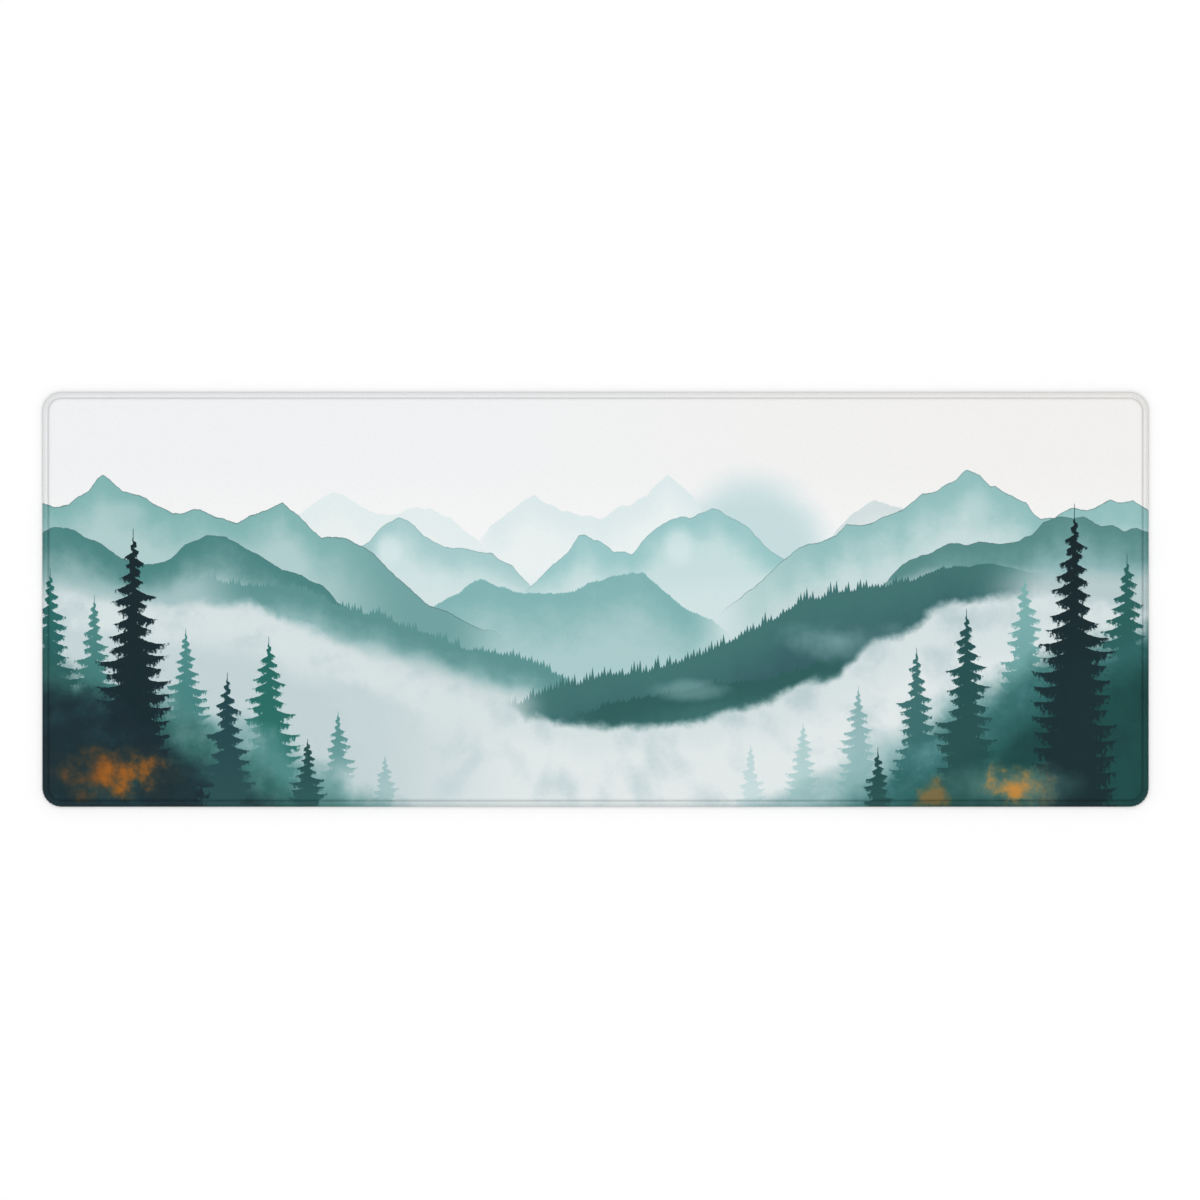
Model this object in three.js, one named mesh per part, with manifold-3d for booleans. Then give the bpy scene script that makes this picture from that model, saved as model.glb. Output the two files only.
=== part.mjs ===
// A desk mat with an overlocked edge, lying flat.
//
// From the top down it is a printed polyester cloth, a thin bonding film and a foam rubber sheet.
// Three threads bind the laminate all the way round: two loopers wrap its edge and meet half-way
// up the side, and one needle thread runs in the seam a few millimetres in. The threads press the
// cloth and the rubber, so that they lie flush with the middle of the mat above and below.
//
// Millimetres. X runs along the length, Y points away from the sitter and Z up. The origin is the
// middle of the underside.

import * as THREE from "three";
import { mergeVertices } from "three/addons/utils/BufferGeometryUtils.js";
import Module from "manifold-3d";

// The whole mat
const LENGTH = 800;
const WIDTH = 300;
const THICKNESS = 4;
const CORNER_RADIUS = 14;

// Layers of the laminate
const RUBBER_THICKNESS = 3.1;
const FILM_THICKNESS = 0.2;
const PRESSED_CLOTH_THICKNESS = 0.3;

// The overlocked edge. Every inset is measured inwards from the outside of the mat.
const THREAD_THICKNESS = 0.4;
const LAMINATE_INSET = 0.5;
const LOOPER_REACH = 4.2;
const NEEDLE_THREAD_INSET = 4.3;
const NEEDLE_THREAD_WIDTH = 0.6;
const NEEDLE_THREAD_HEIGHT = 0.25;
const PRESSED_WIDTH = 5;
const LOOPERS_MEET_AT = 2;
const EDGE_ROUNDING = 0.8;
const CLOTH_ROUNDING = 0.3;

const CORNER_SEGMENTS = 16;
const ROUNDING_SEGMENTS = 3;
const CLEARANCE = 1;

const wasm = await Module();
wasm.setup();

// The mat's outline moved inwards all round.
function outline(inset) {
  const halfLength = LENGTH / 2 - inset;
  const halfWidth = WIDTH / 2 - inset;
  const radius = CORNER_RADIUS - inset;
  const corners = [
    [1, 1],
    [-1, 1],
    [-1, -1],
    [1, -1],
  ];
  const shape = new THREE.Shape();
  corners.forEach(([sideX, sideY], quarter) => {
    const centreX = sideX * (halfLength - radius);
    const centreY = sideY * (halfWidth - radius);
    const start = (quarter * Math.PI) / 2;
    shape.absarc(centreX, centreY, radius, start, start + Math.PI / 2);
  });
  shape.closePath();
  return shape;
}

function toSolid(geometry) {
  geometry.deleteAttribute("normal");
  geometry.deleteAttribute("uv");
  const merged = mergeVertices(geometry);
  const mesh = new wasm.Mesh({
    numProp: 3,
    vertProperties: merged.getAttribute("position").array,
    triVerts: new Uint32Array(merged.index.array),
  });
  return new wasm.Manifold(mesh);
}

// A flat layer between two heights, with its top and bottom edges rounded if asked.
function layer(inset, bottom, top, rounding = 0) {
  const geometry = new THREE.ExtrudeGeometry(outline(inset), {
    depth: top - bottom - 2 * rounding,
    curveSegments: CORNER_SEGMENTS,
    bevelEnabled: rounding > 0,
    bevelThickness: rounding,
    bevelSize: rounding,
    bevelOffset: -rounding,
    bevelSegments: ROUNDING_SEGMENTS,
  });
  geometry.translate(0, 0, bottom + rounding);
  return toSolid(geometry);
}

const mat = new THREE.Group();

function addPiece(name, solid, color, roughness) {
  const { vertProperties, triVerts } = solid.getMesh();
  const geometry = new THREE.BufferGeometry();
  geometry.setAttribute("position", new THREE.BufferAttribute(vertProperties, 3));
  geometry.setIndex(new THREE.BufferAttribute(triVerts, 1));
  geometry.computeVertexNormals();
  const material = new THREE.MeshStandardMaterial({ color, roughness, metalness: 0 });
  const mesh = new THREE.Mesh(geometry, material);
  mesh.name = name;
  mat.add(mesh);
}

const filmTop = RUBBER_THICKNESS + FILM_THICKNESS;
const pressedTop = filmTop + PRESSED_CLOTH_THICKNESS;

// Foam rubber sheet: thinner round its edge, where the lower threads press into its underside.
const pressedRubber = layer(LAMINATE_INSET, THREAD_THICKNESS, RUBBER_THICKNESS);
const restingRubber = layer(PRESSED_WIDTH, 0, RUBBER_THICKNESS);
addPiece("rubber_base", pressedRubber.add(restingRubber), 0x1c1d1f, 0.9);

// Bonding film: the same thickness from edge to edge, sealed between the other two layers.
addPiece("bonding_film", layer(LAMINATE_INSET, RUBBER_THICKNESS, filmTop), 0xd9d6cc, 0.5);

// Printed cloth: puffed up inside the seam, pressed flat under the threads.
const pressedCloth = layer(LAMINATE_INSET, filmTop, pressedTop);
const openCloth = layer(PRESSED_WIDTH, filmTop, THICKNESS, CLOTH_ROUNDING);
addPiece("printed_cloth", pressedCloth.add(openCloth), 0xa9c3c4, 0.85);

// The two looper threads share one rounded envelope round the edge. Each is a band over a face of
// the mat that turns down, or up, the side to meet the other.
const envelope = layer(0, 0, THICKNESS, EDGE_ROUNDING);
const laminate = layer(LAMINATE_INSET, THREAD_THICKNESS, pressedTop);
const insideBands = layer(LOOPER_REACH, -CLEARANCE, THICKNESS + CLEARANCE);
const aboveMeeting = layer(-CLEARANCE, LOOPERS_MEET_AT, THICKNESS + CLEARANCE);
const loopers = envelope.subtract(laminate).subtract(insideBands);
addPiece("upper_looper_thread", loopers.intersect(aboveMeeting), 0x9fb9ba, 0.7);
addPiece("lower_looper_thread", loopers.subtract(aboveMeeting), 0xd2d2cf, 0.7);

// Needle thread: a low ridge in the seam's valley, between the upper looper and the open cloth.
const needleTop = pressedTop + NEEDLE_THREAD_HEIGHT;
const needleOutside = layer(NEEDLE_THREAD_INSET, pressedTop, needleTop);
const needleInside = layer(
  NEEDLE_THREAD_INSET + NEEDLE_THREAD_WIDTH,
  pressedTop - CLEARANCE,
  needleTop + CLEARANCE,
);
addPiece("needle_thread", needleOutside.subtract(needleInside), 0x8fa9aa, 0.7);

export default mat;
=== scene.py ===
# A desk mat with a printed cloth top, a foam rubber base and an overlocked edge.
#
# Shapes are worked out in millimetres and made in metres, in the frame's own axes. The rim of the
# mat is followed by two numbers: how far along the seam a point is, and how far it is inset from
# the outside. The print is painted by shader nodes, from the back of the landscape to its front. It
# is a generic landscape of its own, with generated outlines, in place of the photograph's picture.

from math import pi

import bpy
import numpy as np
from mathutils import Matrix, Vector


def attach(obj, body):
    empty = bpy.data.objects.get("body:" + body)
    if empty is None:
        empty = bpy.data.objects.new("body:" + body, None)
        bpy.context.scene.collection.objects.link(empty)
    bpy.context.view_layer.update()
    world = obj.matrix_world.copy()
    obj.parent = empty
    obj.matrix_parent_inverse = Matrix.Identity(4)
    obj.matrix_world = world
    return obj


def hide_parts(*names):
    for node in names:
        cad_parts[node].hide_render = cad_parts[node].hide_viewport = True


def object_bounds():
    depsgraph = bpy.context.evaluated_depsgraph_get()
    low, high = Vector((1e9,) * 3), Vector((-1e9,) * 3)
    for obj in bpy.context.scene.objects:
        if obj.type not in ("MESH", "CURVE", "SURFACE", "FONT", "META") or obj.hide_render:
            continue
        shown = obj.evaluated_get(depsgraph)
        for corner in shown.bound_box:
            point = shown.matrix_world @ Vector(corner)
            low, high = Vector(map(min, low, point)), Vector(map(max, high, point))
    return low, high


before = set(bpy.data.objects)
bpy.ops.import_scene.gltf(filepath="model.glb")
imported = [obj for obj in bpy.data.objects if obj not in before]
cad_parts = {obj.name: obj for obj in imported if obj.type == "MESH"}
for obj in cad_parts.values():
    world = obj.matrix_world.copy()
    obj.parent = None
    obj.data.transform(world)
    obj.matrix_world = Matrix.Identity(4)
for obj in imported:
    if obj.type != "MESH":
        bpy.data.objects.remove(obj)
cad_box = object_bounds()

# ------------------------------------------------------------------ camera
CAMERA_PLACE = (0.00325, -0.00036, 2.8937)
CAMERA_LENS = 120.0

lens = bpy.data.cameras.new("camera")
lens.lens = CAMERA_LENS
camera = bpy.data.objects.new("camera", lens)
camera.location = CAMERA_PLACE
bpy.context.scene.collection.objects.link(camera)
bpy.context.scene.camera = camera


# ------------------------------------------------------------------ fields
class Field:
    """A value at every point of the print, worked out by shader nodes."""

    tree = None

    def __init__(self, socket):
        self.socket = socket

    def __add__(self, other):
        return calc("ADD", self, other)

    __radd__ = __add__

    def __sub__(self, other):
        return calc("SUBTRACT", self, other)

    def __rsub__(self, other):
        return calc("SUBTRACT", other, self)

    def __mul__(self, other):
        return calc("MULTIPLY", self, other)

    __rmul__ = __mul__

    def __truediv__(self, other):
        return calc("DIVIDE", self, other)


def wire(value, socket):
    """Feeds a socket with a field, or sets it to a plain value."""
    if isinstance(value, Field):
        Field.tree.links.new(value.socket, socket)
    else:
        socket.default_value = value


def calc(operation, *values):
    """The field that one step of arithmetic gives."""
    node = Field.tree.nodes.new("ShaderNodeMath")
    node.operation = operation
    for value, socket in zip(values, node.inputs):
        wire(value, socket)
    return Field(node.outputs[0])


def smooth(low, high, value):
    """An eased step from 0 at the low value to 1 at the high one, either way round."""
    node = Field.tree.nodes.new("ShaderNodeMapRange")
    node.interpolation_type = "SMOOTHSTEP"
    node.clamp = False
    for source, name in ((value, "Value"), (low, "From Min"), (high, "From Max")):
        wire(source, node.inputs[name])
    return Field(node.outputs["Result"])


def blend(under, over, share):
    """One colour laid over another."""
    node = Field.tree.nodes.new("ShaderNodeMix")
    node.data_type = "RGBA"
    wire(share, node.inputs[0])
    wire(under, node.inputs[6])
    wire(over, node.inputs[7])
    return Field(node.outputs[2])


def noise(point, size, detail=3.0, roughness=0.5):
    """Fractal noise round 0 whose largest features are about size millimetres across."""
    node = Field.tree.nodes.new("ShaderNodeTexNoise")
    node.noise_dimensions = "2D"
    Field.tree.links.new(point, node.inputs["Vector"])
    node.inputs["Scale"].default_value = 1000 / size
    node.inputs["Detail"].default_value = detail
    node.inputs["Roughness"].default_value = roughness
    return Field(node.outputs[0]) - 0.5


def chance(value):
    """A random number from 0 to 1 for each value."""
    node = Field.tree.nodes.new("ShaderNodeTexWhiteNoise")
    node.noise_dimensions = "1D"
    wire(value, node.inputs["W"])
    return Field(node.outputs["Value"])


def line(x, points):
    """The height at x of a line through the points, level beyond its ends."""
    xs, ys = zip(*points)
    low, high = min(ys) - 1, max(ys) + 1
    along = (x - xs[0]) * (1 / (xs[-1] - xs[0]))
    node = Field.tree.nodes.new("ShaderNodeFloatCurve")
    curve = node.mapping.curves[0]
    for _ in range(len(points) - 2):
        curve.points.new(0.5, 0.5)
    node.mapping.use_clip = True
    for knot, (px, py) in zip(curve.points, points):
        knot.location = ((px - xs[0]) / (xs[-1] - xs[0]), (py - low) / (high - low))
        knot.handle_type = "VECTOR"
    node.mapping.update()
    wire(along, node.inputs["Value"])
    return Field(node.outputs[0]) * (high - low) + low


def dye(code):
    """The colour that a six-figure code stands for, as it is seen."""
    return tuple(int(code[i : i + 2], 16) / 255 for i in (0, 2, 4)) + (1.0,)


# ------------------------------------------------------------------ outlines
OUTLINE_SPLITS = 3
CREST_ROUGHNESS = 4.2
CREST_LINE = dye("4d5d5f")


def outline(seed, guide, jag):
    """A mountain's outline: a coarse guide whose every step is split and shifted, again and again."""
    random = np.random.default_rng(seed)
    points = list(guide)
    for _ in range(OUTLINE_SPLITS):
        finer = points[:1]
        for (x0, y0), (x1, y1) in zip(points, points[1:]):
            at = random.uniform(0.35, 0.65)
            shift = random.uniform(-jag, jag) * abs(x1 - x0)
            finer += [(x0 + (x1 - x0) * at, y0 + (y1 - y0) * at + shift), (x1, y1)]
        points = finer
    return points


# ------------------------------------------------------------------ the picture
class Painting:
    """A misty mountain landscape, painted from the back to the front, in millimetres."""

    def __init__(self, under):
        nodes, links = Field.tree.nodes, Field.tree.links
        here = nodes.new("ShaderNodeTexCoord").outputs["Object"]
        squeeze = nodes.new("ShaderNodeMapping")
        squeeze.inputs["Scale"].default_value = (1.0, 0.7, 1.0)
        links.new(here, squeeze.inputs["Vector"])
        self.rugged = noise(here, 14, 5, 0.62)
        self.billow = noise(here, 46, 5, 0.55)
        self.needles = noise(squeeze.outputs[0], 2.6, 4, 0.72)
        self.grain = noise(here, 24, 4, 0.6)
        split = nodes.new("ShaderNodeSeparateXYZ")
        links.new(here, split.inputs[0])
        self.x = Field(split.outputs[0]) * 1000.0
        self.y = Field(split.outputs[1]) * 1000.0
        self.colour = under

    def lay(self, colour, share):
        self.colour = blend(self.colour, colour, share)

    def spikes(self, width, height, seed):
        """A row of pointed tree tops, as height above the ground they stand on."""
        rows = []
        for shift, size in ((0.0, 1.0), (0.43, 0.8)):
            cell = self.x / width + (seed + shift)
            number = calc("FLOOR", cell)
            tall = chance(number + seed * 7.3) * 0.7 + 0.3
            side = calc("ABSOLUTE", calc("FRACT", cell) - 0.5) * 2.0
            rows.append(calc("POWER", 1.0 - side, 1.3) * tall * (height * size))
        return calc("MAXIMUM", *rows)

    def ridge(self, seed, guide, near, far, depth, jag=0.16, soft=0.35, edge=0.0, fade=(20, 20),
              crest=None, tint=None):
        """A mountain whose colour goes from near at the crest to far at depth below it."""
        points = outline(seed, guide, jag)
        height = line(self.x, points) + self.rugged * CREST_ROUGHNESS
        deep = smooth(0, depth, height - self.y + self.grain * (depth * 0.6))
        if crest is not None:
            height = height + crest
        below = height - self.y
        share = smooth(-soft, soft, below)
        left, right = points[0][0], points[-1][0]
        share = share * smooth(left, left + fade[0], self.x)
        share = share * smooth(right, right - fade[1], self.x)
        colour = blend(dye(near), dye(far), deep)
        if tint:
            code, low, high = tint
            colour = blend(colour, dye(code), smooth(low, high, self.x))
        self.lay(colour, share)
        if edge:
            crestline = smooth(0.9, 0.1, calc("ABSOLUTE", below)) * share * edge
            self.lay(CREST_LINE, crestline)

    def mist(self, points, code, soft, drift, opacity, fade=None, detail=0.0, tint=None, cloud=None):
        """A bank of mist under a soft, billowing line."""
        height = line(self.x, points) + self.billow * drift
        if detail:
            height = height + self.rugged * detail
        share = smooth(-soft, soft, height - self.y)
        if fade:
            share = share * smooth(*fade, self.x)
        colour = dye(code)
        if tint:
            other, low, high = tint
            colour = blend(colour, dye(other), smooth(low, high, self.x))
        if cloud:
            colour = blend(colour, dye(cloud), smooth(-0.08, 0.3, self.billow + self.grain * 0.4))
        self.lay(colour, share * opacity)

    def patch(self, x, y, across, up, code, opacity, ragged, core, fine=0.0):
        """A soft-edged blot."""
        dx = (self.x - x) / across
        dy = (self.y - y) / up
        away = calc("SQRT", dx * dx + dy * dy) + self.billow * ragged
        if fine:
            away = away + self.rugged * fine
        self.lay(dye(code), smooth(1.0, core, away) * opacity)

    def fir(self, x, top, height, reach, tip, foot, tiers, seed, spire=0.05, opacity=1.0, fade=None):
        """A conifer: tiers of ragged branches that droop from the trunk."""
        across = self.x - x
        down = top - self.y
        node = Field.tree.nodes.new("ShaderNodeGroup")
        node.node_tree = bpy.data.node_groups["fir"]
        for name, value in (
            ("Across", across),
            ("Down", down),
            ("Needles", self.needles),
            ("Height", height),
            ("Reach", reach),
            ("Tiers", tiers),
            ("Seed", seed),
            ("Spire", spire),
        ):
            wire(value, node.inputs[name])
        shape = Field(node.outputs[0])
        if opacity != 1.0:
            shape = shape * opacity
        if fade:
            shape = shape * smooth(*fade[::-1], down)
        colour = blend(dye(tip), dye(foot), smooth(height * 0.15, height, down))
        self.lay(colour, shape)


BRANCH_DROOP = 0.75
BRANCH_CURL = 0.5
LONGEST_BRANCH = 1.14
TWIG_WOBBLE = 1.8
NEEDLE_FRINGE = 1.3


def fir_group():
    """The node group that says where a fir covers the picture."""
    tree = bpy.data.node_groups.new("fir", "ShaderNodeTree")
    names = ("Across", "Down", "Needles", "Height", "Reach", "Tiers", "Seed", "Spire")
    for name in names:
        tree.interface.new_socket(name, in_out="INPUT", socket_type="NodeSocketFloat")
    tree.interface.new_socket("Shape", in_out="OUTPUT", socket_type="NodeSocketFloat")
    Field.tree = tree
    start = tree.nodes.new("NodeGroupInput")
    across, down, needles, height, reach, tiers, seed, spire = (
        Field(socket) for socket in start.outputs[: len(names)]
    )
    out = calc("ABSOLUTE", across)
    reached = calc("MINIMUM", out / reach, 1.2)
    lifted = reached * reached * (reach * BRANCH_CURL)
    begin = (down + needles * TWIG_WOBBLE - out * BRANCH_DROOP + lifted) / height - spire
    begin = calc("MAXIMUM", begin, 0.0)
    side = calc("GREATER_THAN", across, 0.0)
    phase = calc("POWER", begin, 0.82) * tiers + side * 0.45
    number = calc("FLOOR", phase)
    length = chance(number * 3.17 + side * 41.7 + seed) * 0.7 + 0.6
    grown = calc("POWER", begin, 0.75) * length * 1.5
    span = calc("MINIMUM", grown, LONGEST_BRANCH) * reach + 0.1
    share = out / span
    body = calc("POWER", calc("MAXIMUM", 1.0 - share, 0.0), 0.85) * 1.3 + needles * NEEDLE_FRINGE
    branch = smooth(0.0, 0.22, body - calc("FRACT", phase) * (1.0 - begin * 0.55) - 0.1)
    branch = branch * smooth(1.05, 0.85, share + needles * 0.4)
    trunk = smooth(0.25, -0.15, out - down * 0.9 / height - 0.12)
    shape = calc("MAXIMUM", branch, trunk) * smooth(0.0, 2.0, down)
    end = tree.nodes.new("NodeGroupOutput")
    tree.links.new(shape.socket, end.inputs[0])


def sky(p):
    """The plain sky with a pale glow, and the farthest peaks."""
    air = blend(dye("eff0f1"), dye("f0efed"), smooth(-120, 330, p.x))
    p.colour = blend(air, dye("f4f4f4"), smooth(100, 40, p.y) * 0.8)
    p.patch(112, 40, 68, 62, "c3dadc", 1.0, 0.2, 0.45)
    p.ridge(11, [(-250, 34), (-190, 78), (-128, 66), (-70, 30)], "e0ebeb", "e8eeee", 34, soft=0.5)
    p.ridge(12, [(-92, 30), (-44, 76), (4, 58), (52, 90), (112, 36)], "dbe8e9", "e8efef", 32, soft=0.5)
    p.ridge(13, [(150, 30), (206, 70), (262, 50), (300, 30)], "d0dcdd", "dfe6e6", 30, soft=0.5)


def middle(p):
    """The middle distance."""
    p.ridge(21, [(-218, -4), (-142, 60), (-96, 38), (-30, -4)], "a3c8c9", "cbdfe0", 34, edge=0.3)
    p.ridge(22, [(-70, -6), (-12, 46), (26, 32), (84, 66), (128, 34), (196, -6)], "98c4c5", "c6dddd", 36,
            edge=0.3)
    p.patch(60, 38, 16, 18, "d6e7e8", 0.7, 0.5, 0.3)
    p.patch(-150, 36, 14, 16, "dbe9ea", 0.7, 0.5, 0.3)
    p.mist([(-240, 14), (-110, 16), (0, 4), (120, 12), (220, 20)], "d3e2e3", 14, 14, 0.75)
    p.ridge(23, [(-150, -30), (-84, 14), (-20, 4), (34, 18), (104, -30)], "7fb0b0", "a8c8c9", 50, jag=0.1,
            crest=p.spikes(2.2, 1.8, 3.0), soft=0.4, fade=(40, 40))


def left_hand(p):
    """The mountains on the left."""
    p.ridge(31, [(-420, 58), (-356, 90), (-300, 62), (-226, 70), (-150, 22), (-60, -30)], "7fb1af",
            "aecbcb", 38, edge=0.7, tint=("6f9f9e", -215, -130), fade=(1, 50))
    p.patch(-344, 62, 26, 14, "a9c8c8", 0.6, 0.5, 0.3)
    p.ridge(32, [(-420, 40), (-382, 52), (-318, 26), (-262, 42), (-186, -2), (-110, -44)], "4b8280",
            "8fb2b2", 40, edge=0.4, fade=(1, 30))
    p.mist([(-400, 18), (-330, 8), (-270, 14), (-200, -16), (-120, -50)], "a7c2c4", 9, 18, 0.8)


def right_hand(p):
    """The mountains on the right."""
    p.ridge(41, [(84, -16), (160, 40), (214, 62), (268, 94), (322, 58), (372, 72), (420, 48)], "8fbcbb",
            "c6dadb", 46, edge=0.6, tint=("c3d8d8", 170, 80), fade=(30, 1))
    p.patch(276, 64, 14, 24, "b4d0d0", 0.6, 0.5, 0.3)
    p.ridge(42, [(176, -14), (232, 30), (306, 42), (352, 60), (420, 34)], "578886", "8fb5b7", 42, edge=0.5,
            fade=(40, 1))
    p.mist([(120, -4), (200, 8), (270, 18), (340, 14), (400, 20)], "bccbcd", 9, 20, 0.85,
           fade=(110, 180))


def forests(p):
    """The wooded slopes that come down to the valley."""
    tops = p.spikes(4.3, 13.0, 1.0)
    p.ridge(51, [(-300, 16), (-214, 6), (-130, -24), (-56, -44), (0, -72)], "5b8f8e", "9dbfc0", 34,
            jag=0.08, crest=p.spikes(4.4, 9.0, 5.0), fade=(60, 30))
    p.mist([(-300, -8), (-180, -30), (-100, -54), (-30, -74), (60, -100)], "cfdadb", 9, 22, 0.95,
           cloud="b7c9cc", fade=(30, -20))
    p.ridge(52, [(-70, -82), (10, -56), (96, -34), (176, 2), (250, 22), (330, 20)], "41706f", "375f63", 44,
            jag=0.07, crest=tops * smooth(290, 180, p.x), fade=(40, 60))
    p.ridge(53, [(-30, -92), (44, -72), (120, -62), (200, -40)], "2f5c5a", "3f6f6e", 30, jag=0.06,
            crest=p.spikes(3.7, 7.0, 9.0), fade=(40, 40))
    p.patch(176, -30, 50, 18, "8fb6b7", 0.6, 1.3, 0.0)
    p.patch(70, -66, 34, 9, "86acad", 0.5, 1.3, 0.0)


def valley(p):
    """The mist that fills the valley."""
    p.mist([(-400, 6), (-330, -6), (-250, -2), (-190, -30), (-110, -62), (-40, -88), (30, -94), (104, -80),
            (168, -58), (214, -24), (260, -2), (320, 4), (400, -6)],
           "d4dfe0", 5.0, 26, 1.0, detail=6, cloud="b9cbce")
    p.mist([(-400, -30), (-260, -34), (-120, -86), (0, -106), (130, -96), (240, -46), (400, -30)],
           "e2e8e8", 16, 30, 0.85, tint=("bccdd0", -30, -190), cloud="c6d5d8")


def left_trees(p):
    """The firs and autumn leaves on the left."""
    p.fir(-296, -20, 84, 18, "4d8785", "3f7875", 15, 3.0)
    p.fir(-362, 4, 96, 18, "4c8380", "3b716e", 15, 5.0)
    p.fir(-152, -112, 40, 11, "8fb3b5", "a3c1c2", 10, 7.0, opacity=0.8)
    p.fir(-186, -80, 66, 15, "5a8f8d", "7fa9aa", 13, 8.0, fade=(30, 60))
    p.fir(-236, -26, 104, 24, "276860", "2d6e66", 15, 11.0)
    p.mist([(-400, -56), (-330, -70), (-280, -84), (-230, -100), (-180, -136), (-110, -168)], "548b89", 14,
           34, 0.85, detail=14, cloud="86abad")
    p.fir(-394, 24, 116, 22, "2c6a66", "234f52", 16, 12.0)
    p.mist([(-400, -40), (-350, -70), (-300, -86), (-250, -118), (-200, -146), (-140, -172)], "2f5f5b", 14,
           34, 0.93, detail=14, cloud="54827f")
    p.fir(-334, 52, 140, 27, "16292e", "152a30", 17, 1.0)
    p.mist([(-400, -64), (-366, -66), (-336, -82), (-296, -116), (-250, -142), (-190, -180)], "192c33", 14,
           32, 0.96, detail=16, cloud="22444a")
    p.patch(-346, -128, 54, 27, "4d4a3c", 0.7, 1.0, 0.0, fine=1.0)
    p.patch(-350, -128, 40, 21, "7c4a24", 0.7, 1.2, 0.0, fine=1.6)
    p.patch(-340, -130, 25, 17, "b0661f", 0.7, 1.4, 0.0, fine=2.2)
    p.fir(-266, -52, 98, 21, "22444a", "2b4f52", 14, 2.0)
    p.fir(-208, -100, 54, 14, "274c4c", "2f5a5a", 11, 9.0)


def right_trees(p):
    """The firs and autumn leaves on the right."""
    p.fir(112, -104, 46, 11, "b4cfd1", "c3d9db", 10, 4.0, opacity=0.8)
    p.fir(190, -62, 74, 16, "86adae", "a3c4c5", 14, 15.0)
    p.fir(150, -88, 60, 13, "a3c6c6", "a8caca", 12, 16.0, opacity=0.8)
    p.mist([(70, -172), (140, -140), (190, -112), (240, -88), (300, -56), (400, -40)], "82abac", 16, 36,
           0.85, detail=10, cloud="a3c2c4")
    p.fir(232, -34, 94, 20, "3f6d6d", "3a6b6b", 15, 17.0)
    p.fir(310, 18, 84, 19, "7aacaa", "6b9f9e", 13, 18.0)
    p.fir(384, 34, 120, 26, "2c605c", "24554f", 16, 20.0)
    p.mist([(140, -178), (200, -138), (240, -100), (286, -70), (330, -40), (400, -18)], "2f6463", 18, 40,
           0.95, detail=14, cloud="55898a")
    p.fir(268, -6, 112, 23, "264f50", "28504f", 16, 19.0)
    p.mist([(196, -186), (250, -134), (300, -96), (340, -66), (400, -44)], "1d4a47", 20, 40, 0.96,
           detail=14, cloud="183f3f")
    p.fir(346, 70, 158, 30, "14262b", "183034", 17, 21.0, spire=0.07)
    p.patch(300, -136, 60, 24, "5e8782", 0.8, 1.0, 0.0)
    p.patch(304, -136, 30, 21, "a8814f", 0.75, 1.1, 0.0, fine=1.4)
    p.patch(302, -137, 21, 17, "c98638", 0.75, 1.3, 0.0, fine=2.2)
    p.patch(242, -142, 18, 15, "8f6c3c", 0.75, 1.3, 0.0, fine=1.8)
    p.fir(204, -106, 50, 13, "244b4b", "2c5553", 10, 22.0, spire=0.08)


def stage_group(draw):
    """A node group that lays one stage of the picture over the colour it is given."""
    tree = bpy.data.node_groups.new(draw.__name__, "ShaderNodeTree")
    tree.interface.new_socket("Under", in_out="INPUT", socket_type="NodeSocketColor")
    tree.interface.new_socket("Color", in_out="OUTPUT", socket_type="NodeSocketColor")
    Field.tree = tree
    start = tree.nodes.new("NodeGroupInput")
    picture = Painting(Field(start.outputs[0]))
    draw(picture)
    end = tree.nodes.new("NodeGroupOutput")
    tree.links.new(picture.colour.socket, end.inputs[0])
    return tree


def print_group():
    """The node group that gives the print's colour at a point in metres."""
    fir_group()
    stages = [stage_group(draw) for draw in STAGES]
    tree = bpy.data.node_groups.new("print", "ShaderNodeTree")
    tree.interface.new_socket("Color", in_out="OUTPUT", socket_type="NodeSocketColor")
    colour = None
    for stage in stages:
        node = tree.nodes.new("ShaderNodeGroup")
        node.node_tree = stage
        if colour:
            tree.links.new(colour, node.inputs[0])
        colour = node.outputs[0]
    gamma = tree.nodes.new("ShaderNodeGamma")
    gamma.inputs["Gamma"].default_value = 2.2
    tree.links.new(colour, gamma.inputs["Color"])
    end = tree.nodes.new("NodeGroupOutput")
    tree.links.new(gamma.outputs[0], end.inputs[0])
    return tree


STAGES = (sky, middle, left_hand, right_hand, forests, valley, left_trees, right_trees)


# ------------------------------------------------------------------ the rim
LOW, HIGH = (np.array(corner) * 1000 for corner in cad_box)
HALF = (HIGH - LOW)[:2] / 2
THICKNESS = HIGH[2] - LOW[2]
CORNER_RADIUS = 14.0
SEAM_INSET = 4.6
STITCHES = 1160

STRAIGHT = 2 * (HALF - CORNER_RADIUS)
TURN = pi / 2 * (CORNER_RADIUS - SEAM_INSET)
PERIMETER = 2 * STRAIGHT.sum() + 4 * TURN
PITCH = PERIMETER / STITCHES


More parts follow.
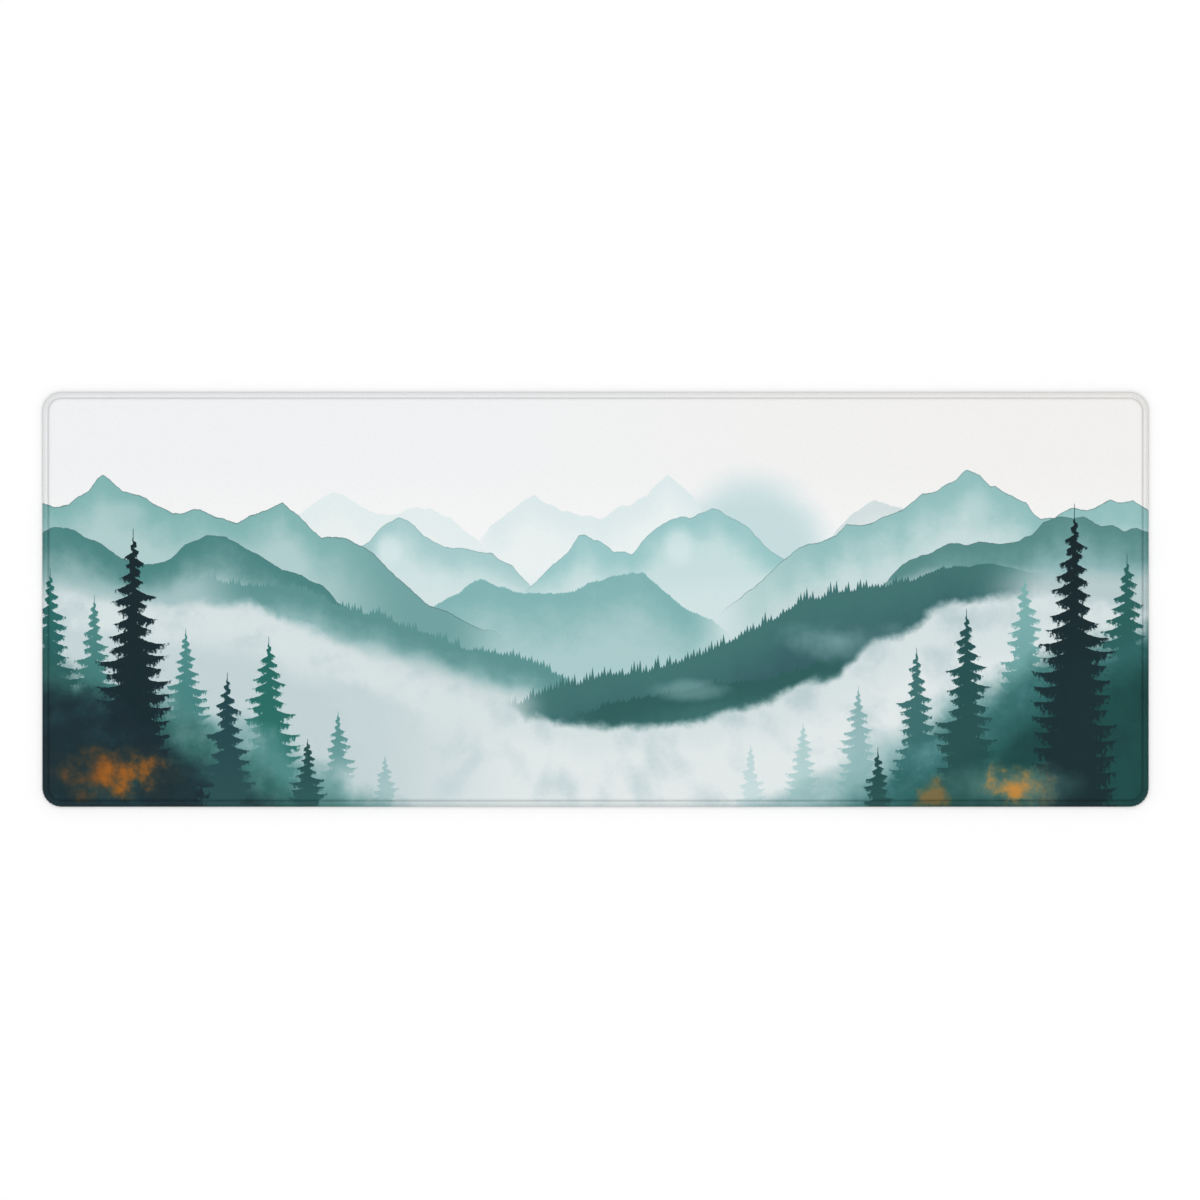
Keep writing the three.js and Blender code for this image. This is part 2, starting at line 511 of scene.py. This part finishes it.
def rim(along, inset):
    """Points on the rim, and the directions that point out of it."""
    along = np.mod(along, PERIMETER)
    x, y, out_x, out_y = (np.zeros(np.broadcast(along, inset).shape) for _ in range(4))
    inset = np.broadcast_to(inset, x.shape)
    along = np.broadcast_to(along, x.shape)
    start = 0.0
    for side in range(4):
        angle = side * pi / 2
        normal = np.array([np.cos(angle), np.sin(angle)])
        tangent = np.array([-normal[1], normal[0]])
        reach = HALF[side % 2]
        run = STRAIGHT[1 - side % 2]
        here = (along >= start) & (along < start + run)
        for axis, (place, out) in enumerate(((x, out_x), (y, out_y))):
            place[here] = (
                normal[axis] * (reach - inset[here])
                + tangent[axis] * (along[here] - start - run / 2)
            )
            out[here] = normal[axis]
        start += run
        here = (along >= start) & (along < start + TURN)
        turned = angle + (along[here] - start) / (CORNER_RADIUS - SEAM_INSET)
        centre = normal * (reach - CORNER_RADIUS) + tangent * run / 2
        out_x[here], out_y[here] = np.cos(turned), np.sin(turned)
        x[here] = centre[0] + (CORNER_RADIUS - inset[here]) * out_x[here]
        y[here] = centre[1] + (CORNER_RADIUS - inset[here]) * out_y[here]
        start += TURN
    return x, y, out_x, out_y


def piece(name, vertices, faces, material, nodes):
    """A visible piece, from vertices in millimetres, in place of the CAD nodes named."""
    mesh = bpy.data.meshes.new(name)
    mesh.from_pydata((np.asarray(vertices) * 0.001).tolist(), [], faces)
    mesh.shade_smooth()
    mesh.materials.append(material)
    mesh.update()
    made = bpy.data.objects.new(name, mesh)
    bpy.context.scene.collection.objects.link(made)
    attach(made, "root")
    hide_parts(*nodes)
    return made


# ------------------------------------------------------------------ the laminate
# Inset and height above the desk: the cloth's face, then the rubber's underside.
FACE = np.array(
    [
        (0.6, 2.66),
        (0.9, 2.98),
        (1.3, 3.26),
        (1.9, 3.48),
        (2.8, 3.58),
        (3.7, 3.54),
        (4.3, 3.24),
        (5.0, 3.2),
        (5.4, 3.5),
        (6.0, 3.9),
        (6.8, 4.05),
        (8.0, 4.02),
        (10.0, 4.0),
    ]
)
UNDERSIDE = np.array(
    [(0.6, 1.3), (0.9, 1.0), (1.3, 0.72), (1.9, 0.5), (2.8, 0.4), (4.4, 0.4), (5.6, 0.06), (7, 0.0)]
)
FILM_TOP = 3.28
FILM_THICKNESS = 0.18
FILM_COLUMNS = 480
PRESSED_CLOTH = 0.3
GAP = 0.01
HIDDEN_INSETS = (0.62, 0.9, 1.3, 1.9, 2.8, 3.7, 4.3, 5.0, 5.4, 6.0, 9.0)
PUCKER = 0.12
CREASE = np.array([(3.9, 0), (4.6, 0.6), (5.2, 1), (6.5, 0.45), (8.5, 0)])


def film_top(inset):
    """The film follows the cloth's face down into the seam."""
    return np.minimum(FILM_TOP, np.interp(inset, *FACE.T) - PRESSED_CLOTH)


def slab(name, columns, profile, material, nodes, ripple=None):
    """A closed sheet swept round the rim. Its profile runs from the top's middle to the bottom's."""
    along = np.arange(columns) * PERIMETER / columns
    rings = []
    for inset, height in profile:
        x, y, _, _ = rim(along, inset)
        z = np.full(columns, float(height))
        if ripple:
            z = z + ripple(along, inset, height)
        rings.append(np.stack([x, y, z], axis=1))
    vertices = np.concatenate(rings)
    step = np.arange(columns)
    following = (step + 1) % columns
    faces = [step.tolist()]
    for ring in range(len(rings) - 1):
        upper, lower = ring * columns, (ring + 1) * columns
        quads = np.stack([upper + step, lower + step, lower + following, upper + following], axis=1)
        faces.extend(quads.tolist())
    faces.append(((len(rings) - 1) * columns + step[::-1]).tolist())
    return piece(name, vertices, faces, material, nodes)


def pucker(along, inset, height):
    """The cloth's face dips at each needle hole, and the dips run on as short creases."""
    if height < np.interp(inset, *FACE.T):
        return 0.0
    strength = np.interp(inset, *CREASE.T)
    return -PUCKER * strength * (1 + np.cos(2 * pi * along / PITCH))


def build_cloth(material):
    top = list(FACE[::-1])
    under = [(inset, film_top(inset) + GAP) for inset in HIDDEN_INSETS]
    cloth = slab("desk_mat_cloth", 4 * STITCHES, top + under, material, ["printed_cloth"], pucker)
    return cloth


def build_film(material):
    top = [(inset, film_top(inset)) for inset in HIDDEN_INSETS[::-1]]
    under = [(inset, film_top(inset) - FILM_THICKNESS) for inset in HIDDEN_INSETS]
    return slab("desk_mat_film", FILM_COLUMNS, top + under, material, ["bonding_film"])


# ------------------------------------------------------------------ the rubber
RIB_PITCH = 4.5
RIB_WAVE = 17.0
RIB_SWING = 1.5
RIB_DEPTH = 0.5
RIBS_BEGIN = (6.5, 9.0)
RUBBER_COLUMNS = 360
RUBBER_ROWS = 336


def build_rubber(material):
    """A foam sheet with a wavy ribbed grip moulded in its underside."""
    inset = UNDERSIDE[0][0]
    radius = CORNER_RADIUS - inset
    half = HALF - inset
    v, u = np.meshgrid(
        np.linspace(-1, 1, RUBBER_ROWS), np.linspace(-1, 1, RUBBER_COLUMNS), indexing="ij"
    )
    y = v * half[1]
    over = np.maximum(np.abs(y) - (half[1] - radius), 0)
    reach = half[0] - radius + np.sqrt(np.maximum(radius**2 - over**2, 0))
    x = u * reach
    side = np.minimum(half[0] - np.abs(x), half[1] - np.abs(y))
    corner = np.hypot(
        np.maximum(np.abs(x) - (half[0] - radius), 0), np.maximum(np.abs(y) - (half[1] - radius), 0)
    )
    depth = np.where(corner > 0, np.minimum(side, radius - corner), side) + inset
    z = np.interp(depth, *UNDERSIDE.T)
    ribs = np.cos(2 * pi * (y + RIB_SWING * np.sin(2 * pi * x / RIB_WAVE)) / RIB_PITCH)
    z += RIB_DEPTH * ((1 - ribs) / 2) ** 2 * np.interp(depth, RIBS_BEGIN, [0, 1])
    grid = np.stack([x, y, z], axis=2).reshape(-1, 3)

    index = np.arange(RUBBER_ROWS * RUBBER_COLUMNS).reshape(RUBBER_ROWS, RUBBER_COLUMNS)
    quads = np.stack([index[:-1, :-1], index[1:, :-1], index[1:, 1:], index[:-1, 1:]], axis=2)
    faces = quads.reshape(-1, 4).tolist()
    loop = np.concatenate([index[0, :-1], index[:-1, -1], index[-1, :0:-1], index[:0:-1, 0]])
    count = len(loop)
    step = np.arange(count)
    following = (step + 1) % count
    rings = [loop]
    vertices = [grid]
    total = len(grid)
    edge = grid[loop, :2]
    centre = np.clip(edge, radius - half, half - radius)
    for top_inset in HIDDEN_INSETS:
        shrink = (CORNER_RADIUS - top_inset) / radius
        level = film_top(top_inset) - FILM_THICKNESS - GAP
        ring = np.column_stack([centre + (edge - centre) * shrink, np.full(count, level)])
        vertices.append(ring)
        rings.append(total + step)
        total += count
    for lower, upper in zip(rings, rings[1:]):
        walls = np.stack([lower[step], lower[following], upper[following], upper[step]], axis=1)
        faces.extend(walls.tolist())
    faces.append(rings[-1].tolist())
    base = piece("desk_mat_rubber", np.concatenate(vertices), faces, material, ["rubber_base"])
    return base


# ------------------------------------------------------------------ the threads
LOOPER_WIDTH = 0.86
LOOPER_THICKNESS = 0.36
SPREAD = np.array([(0.2, 0.8), (2.3, 0.78), (2.9, 1.3), (3.7, 1.3), (4.3, 0.7)])
LOOPER_WANDER = 0.03
NEEDLE_DIAMETER = 0.42
NEEDLE_LIFT = (2.94, 3.12, 3.36, 3.47, 3.5, 3.47, 3.36, 3.12)
NEEDLE_SLANT = 0.1
ROUND_SIDES = 6


def tube(name, path, flat, width, thickness, material, nodes):
    """A closed thread along a path, its flat side turned along the directions given."""
    ahead = np.roll(path, -1, axis=0) - np.roll(path, 1, axis=0)
    ahead /= np.linalg.norm(ahead, axis=1)[:, None]
    flat = flat - ahead * (flat * ahead).sum(axis=1)[:, None]
    flat /= np.linalg.norm(flat, axis=1)[:, None]
    across = np.cross(ahead, flat)
    rings = []
    for corner in range(ROUND_SIDES):
        angle = 2 * pi * corner / ROUND_SIDES
        rings.append(
            path
            + across * (width / 2 * np.cos(angle))[:, None]
            + flat * (thickness / 2 * np.sin(angle))
        )
    count = len(path)
    step = np.arange(count)
    following = (step + 1) % count
    faces = []
    for corner in range(ROUND_SIDES):
        this, other = corner * count, (corner + 1) % ROUND_SIDES * count
        quads = np.stack([this + step, this + following, other + following, other + step], axis=1)
        faces.extend(quads.tolist())
    return piece(name, np.concatenate(rings), faces, material, nodes)


# One stitch of a looper thread: part of the pitch, inset, and angle round the rim's edge, which is
# a quarter turn over the flat and nothing half-way up the side.
SHOULDER = 2.6
LEG = [
    (0.14, 4.35, 3.42),
    (0.18, 3.95, 3.74),
    (0.22, 3.4, 3.85),
    (0.25, 2.7, 3.83),
]
TURNS = ((0.28, 62), (0.31, 36), (0.34, 12), (0.39, -8))


def stitch_points():
    reach, rise = SHOULDER - LOOPER_THICKNESS / 2, THICKNESS / 2 - LOOPER_THICKNESS / 2
    leg = list(LEG)
    for part, degrees in TURNS:
        angle = np.radians(degrees)
        leg.append((part, SHOULDER - reach * np.cos(angle), THICKNESS / 2 + rise * np.sin(angle)))
    back = [(1 - part, inset, height) for part, inset, height in leg[::-1]]
    return np.array(leg + back)


def build_looper(name, node, material, below):
    part, inset, height = stitch_points().T
    count = len(part)
    stitch = np.repeat(np.arange(STITCHES), count)
    wobble = np.random.default_rng(5 + below).normal(0, 1, (2, STITCHES))
    along = (stitch + np.tile(part, STITCHES) + (0.5 if below else 0)) * PITCH
    along = along + LOOPER_WANDER * np.tile(1 - inset / 5, STITCHES) * wobble[0][stitch] * PITCH
    x, y, out_x, out_y = rim(along, np.tile(inset, STITCHES))
    z = np.tile(height, STITCHES)
    rise = np.clip((z - THICKNESS / 2) / (THICKNESS / 2), 0, 1)
    if below:
        z = THICKNESS - z
    up = -1.0 if below else 1.0
    path = np.stack([x, y, z], axis=1)
    flat = np.stack([out_x * (1.05 - rise), out_y * (1.05 - rise), up * rise], axis=1)
    width = LOOPER_WIDTH * np.interp(np.tile(inset, STITCHES), *SPREAD.T)
    return tube(name, path, flat, width, LOOPER_THICKNESS, material, [node])


def build_needle_thread(material):
    phase = np.linspace(0, 1, len(NEEDLE_LIFT), endpoint=False)
    stitch = np.repeat(np.arange(STITCHES), len(phase))
    along = (stitch + np.tile(phase, STITCHES)) * PITCH
    slant = NEEDLE_SLANT * np.sin(2 * pi * np.tile(phase, STITCHES))
    x, y, _, _ = rim(along, SEAM_INSET + slant)
    path = np.stack([x, y, np.tile(NEEDLE_LIFT, STITCHES)], axis=1)
    flat = np.tile([0.0, 0.0, 1.0], (len(path), 1))
    width = np.full(len(path), NEEDLE_DIAMETER)
    return tube(
        "desk_mat_needle_thread", path, flat, width, NEEDLE_DIAMETER, material, ["needle_thread"]
    )


# ------------------------------------------------------------------ materials
def start_material(name):
    made = bpy.data.materials.new(name)
    made.use_nodes = True
    Field.tree = made.node_tree
    shader = made.node_tree.nodes["Principled BSDF"]
    shader.inputs["Specular IOR Level"].default_value = 0.15
    here = Field.tree.nodes.new("ShaderNodeTexCoord").outputs["Object"]
    return made, shader, here


def bump(shader, height, strength, distance):
    node = Field.tree.nodes.new("ShaderNodeBump")
    node.inputs["Strength"].default_value = strength
    node.inputs["Distance"].default_value = distance * 0.001
    wire(height, node.inputs["Height"])
    Field.tree.links.new(node.outputs[0], shader.inputs["Normal"])


def knit(here, pitch):
    """Rows of small loops, as height from 0 to 1."""
    split = Field.tree.nodes.new("ShaderNodeSeparateXYZ")
    Field.tree.links.new(here, split.inputs[0])
    turns = 2000 * pi / pitch
    x, y = Field(split.outputs[0]) * turns, Field(split.outputs[1]) * turns
    wales = calc("SINE", x)
    courses = calc("SINE", y * 1.3 + calc("ABSOLUTE", wales) * 1.6)
    return (wales * courses + 1.0) * 0.5


def dyed(shader, here, grain_size, swing, dim, painted_loop_shade=0.0):
    """The print's colour, with the small unevenness of dye in fibre, and painted shade in the dips between
    loops.
    """
    node = Field.tree.nodes.new("ShaderNodeGroup")
    node.node_tree = bpy.data.node_groups["print"]
    speckle_and_loop_shade = noise(here, grain_size, 2, 0.6) * swing + painted_loop_shade + dim
    scale = Field.tree.nodes.new("ShaderNodeVectorMath")
    scale.operation = "SCALE"
    Field.tree.links.new(node.outputs[0], scale.inputs[0])
    wire(speckle_and_loop_shade, scale.inputs["Scale"])
    Field.tree.links.new(scale.outputs[0], shader.inputs["Base Color"])


CLOTH_DIM = 0.885
KNIT_PITCH = 0.62
KNIT_SHADE = 0.12


def cloth_material():
    made, shader, here = start_material("printed_polyester")
    loops = knit(here, KNIT_PITCH)
    # The knit's loop tops are painted lighter and its dips darker: painted light and shade on the print.
    dyed(shader, here, 1.3, 0.07, CLOTH_DIM, (loops - 0.5) * KNIT_SHADE)
    wire(noise(here, 9, 3, 0.6) * 0.16 + 0.82, shader.inputs["Roughness"])
    shader.inputs["Sheen Weight"].default_value = 0.05
    shader.inputs["Sheen Roughness"].default_value = 0.5
    bump(shader, loops + noise(here, 2.5, 3, 0.6) * 0.5, 0.5, 0.09)
    return made


TWIST_PITCH = 1.6
UNDYED = ((0.66, 0.66, 0.65, 1), (0.78, 0.78, 0.77, 1))


def thread_material(name, print_share_and_seam_shade):
    """Spun polyester, dyed with a share of the print's brightness, where a share below one is painted seam
    shade, or left undyed.
    """
    made, shader, here = start_material(name)
    if print_share_and_seam_shade:
        dyed(shader, here, 0.8, 0.3, CLOTH_DIM * print_share_and_seam_shade)
    else:
        shade = noise(here, 0.8, 2, 0.6) * 0.1
        wire(blend(*UNDYED, shade + 0.5), shader.inputs["Base Color"])
    wire(noise(here, 1.1, 2, 0.6) * 0.3 + 0.7, shader.inputs["Roughness"])
    shader.inputs["Sheen Weight"].default_value = 0.05
    fibres = Field.tree.nodes.new("ShaderNodeTexWave")
    fibres.wave_type = "BANDS"
    fibres.bands_direction = "DIAGONAL"
    fibres.inputs["Scale"].default_value = 1000 / TWIST_PITCH
    fibres.inputs["Distortion"].default_value = 2.0
    Field.tree.links.new(here, fibres.inputs["Vector"])
    bump(shader, Field(fibres.outputs["Fac"]), 0.4, 0.04)
    return made


RUBBER_BLACKS = ((0.012, 0.0125, 0.0135, 1), (0.03, 0.031, 0.033, 1))
PORE_SIZE = 0.7


def rubber_material():
    made, shader, here = start_material("foam_rubber")
    pores = Field.tree.nodes.new("ShaderNodeTexVoronoi")
    pores.inputs["Scale"].default_value = 1000 / PORE_SIZE
    Field.tree.links.new(here, pores.inputs["Vector"])
    depth = Field(pores.outputs["Distance"])
    cloud = noise(here, 30, 4, 0.6)
    # The pores' hollows are painted darker than the rubber around them: painted shade, under a random
    # cloud of tone.
    wire(blend(*RUBBER_BLACKS, depth * 0.7 + cloud), shader.inputs["Base Color"])
    wire(cloud * 0.2 + 0.78, shader.inputs["Roughness"])
    bump(shader, depth, 0.5, 0.08)
    return made


FILM_CREAMS = ((0.6, 0.58, 0.5, 1), (0.72, 0.7, 0.64, 1))


def film_material():
    made, shader, here = start_material("hot_melt_film")
    cloud = noise(here, 12, 3, 0.6)
    wire(blend(*FILM_CREAMS, cloud + 0.5), shader.inputs["Base Color"])
    wire(cloud * 0.2 + 0.5, shader.inputs["Roughness"])
    bump(shader, noise(here, 2, 2, 0.5), 0.3, 0.05)
    return made


# ------------------------------------------------------------------ stage
FLOOR_SIZE = 16.0
FLOOR_DROP = 0.0002
WORLD_LIGHT = 0.95
FLOOR_PAINT = (0.87, 0.87, 0.87, 1)
SOFTBOX_POWER = 36.0
SOFTBOX_SIZE = 4.0
SOFTBOX_PLACE = (0, 0.2, 3.5)


def build_stage():
    mesh = bpy.data.meshes.new("floor")
    half = FLOOR_SIZE / 2
    corners = [(-half, -half), (half, -half), (half, half), (-half, half)]
    mesh.from_pydata([(x, y, -FLOOR_DROP) for x, y in corners], [], [(0, 1, 2, 3)])
    floor = bpy.data.objects.new("floor", mesh)
    bpy.context.scene.collection.objects.link(floor)
    made = bpy.data.materials.new("floor_paint")
    made.use_nodes = True
    shader = made.node_tree.nodes["Principled BSDF"]
    shader.inputs["Base Color"].default_value = FLOOR_PAINT
    shader.inputs["Roughness"].default_value = 0.9
    shader.inputs["Specular IOR Level"].default_value = 0.1
    mesh.materials.append(made)

    world = bpy.data.worlds.new("studio")
    world.use_nodes = True
    background = world.node_tree.nodes["Background"]
    background.inputs["Color"].default_value = (1, 1, 1, 1)
    background.inputs["Strength"].default_value = WORLD_LIGHT
    bpy.context.scene.world = world

    light = bpy.data.lights.new("softbox", "AREA")
    light.shape = "RECTANGLE"
    light.size = light.size_y = SOFTBOX_SIZE
    light.energy = SOFTBOX_POWER
    softbox = bpy.data.objects.new("softbox", light)
    softbox.location = SOFTBOX_PLACE
    softbox.visible_camera = False
    bpy.context.scene.collection.objects.link(softbox)
    bpy.context.scene.view_settings.view_transform = "Standard"


# ------------------------------------------------------------------ everything
build_stage()
print_group()
build_film(film_material())
build_cloth(cloth_material())
build_rubber(rubber_material())
build_looper("desk_mat_upper_looper", "upper_looper_thread", thread_material("upper_looper", 1.0), False)
build_looper("desk_mat_lower_looper", "lower_looper_thread", thread_material("lower_looper", 0), True)
# The needle thread is dyed at 0.82 of the print's brightness: painted shade for the seam's valley.
build_needle_thread(thread_material("needle_thread", 0.82))
